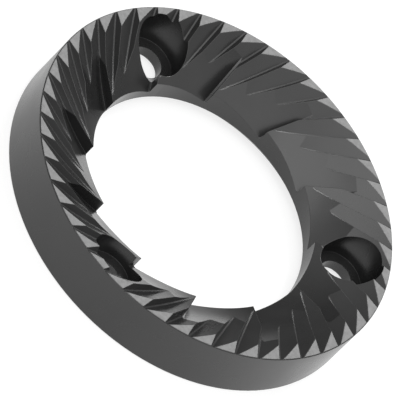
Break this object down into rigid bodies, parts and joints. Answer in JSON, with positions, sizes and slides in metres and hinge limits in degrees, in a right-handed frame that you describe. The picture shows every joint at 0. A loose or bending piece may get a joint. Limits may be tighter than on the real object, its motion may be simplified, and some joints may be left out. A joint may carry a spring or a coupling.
{
  "type": "coffee grinder burr",
  "caption": "Flat grinding ring with a dished, spirally grooved toothed face, a wide centre bore and sunk screw holes, in dark coated steel.",
  "frame": {"origin": "centre of the bore on the flat back face", "axes": "+Z along the bore axis towards the toothed face, +X through one of the screw holes"},
  "size_m": [0.064, 0.064, 0.0097],
  "materials": {
    "coated_steel": "dark grey hard coating over ground steel, semi-gloss"
  },
  "bodies": {
    "root": {"burr": "coated_steel"}
  },
  "joints": []
}
